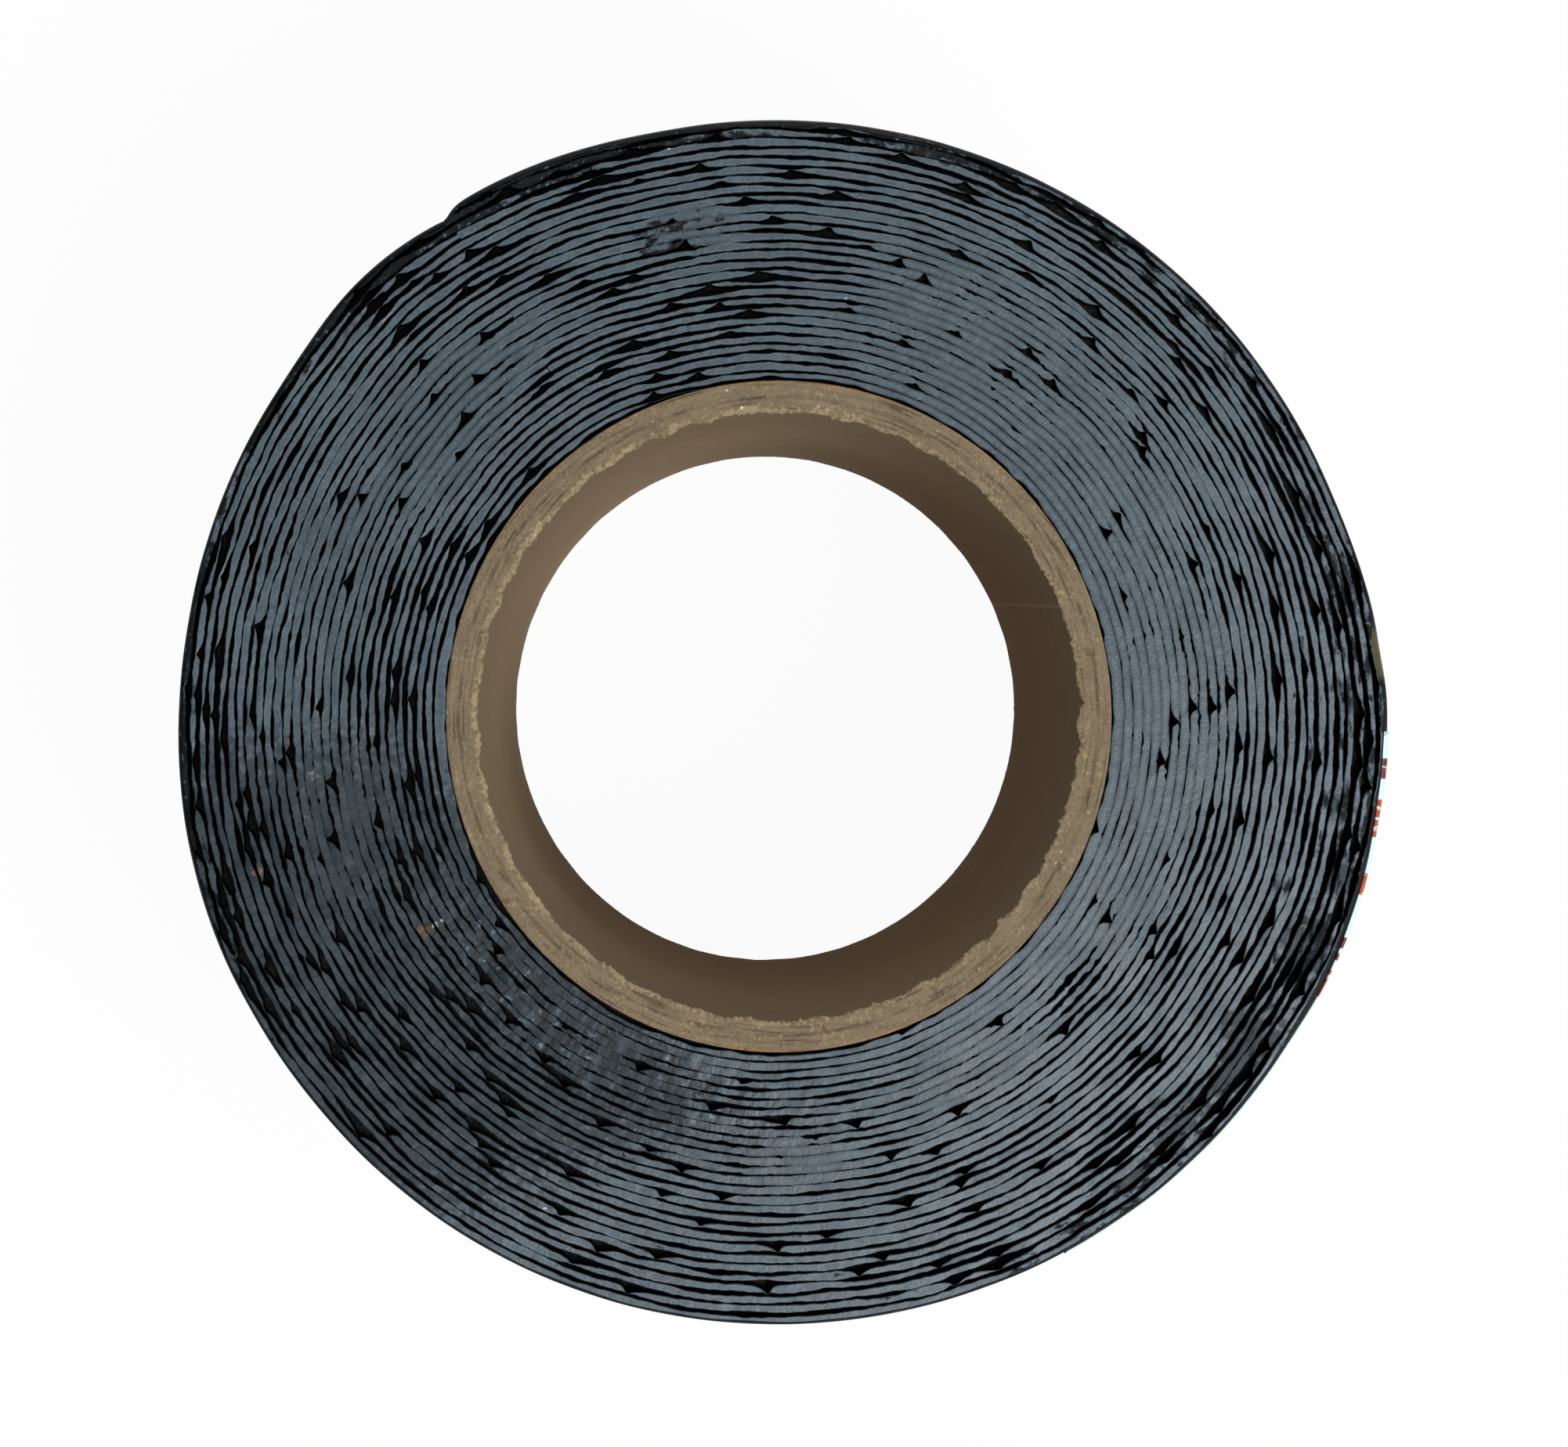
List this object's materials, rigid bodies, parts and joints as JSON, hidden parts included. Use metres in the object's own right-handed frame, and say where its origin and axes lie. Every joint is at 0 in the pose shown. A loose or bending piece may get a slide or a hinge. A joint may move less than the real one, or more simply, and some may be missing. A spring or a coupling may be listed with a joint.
{
  "type": "roll of roofing felt",
  "caption": "Narrow roll of black self-adhesive bitumen roofing felt wound on a cardboard core, standing on one end, with a paper label on part of its outside.",
  "frame": {"origin": "on the axis of the cardboard core, at the level of the end that the roll stands on", "axes": "+Z along the core's axis towards the upper cut end; the label is on the +X side; the outer end of the strip is at 124 degrees from +X towards +Y"},
  "size_m": [0.1525, 0.1518, 0.1],
  "materials": {
    "cardboard": "bare brown board, matt, with the edges of its plies showing on the cut ends",
    "felt": "knife-cut bitumen, dark slate grey with a dull sheen, near black in the gaps and on the outside",
    "label_paper": "smooth pale paper with plain orange and dark red blocks"
  },
  "bodies": {
    "root": {"core_tube": "cardboard", "felt_roll": "felt", "label": "label_paper"}
  },
  "joints": []
}
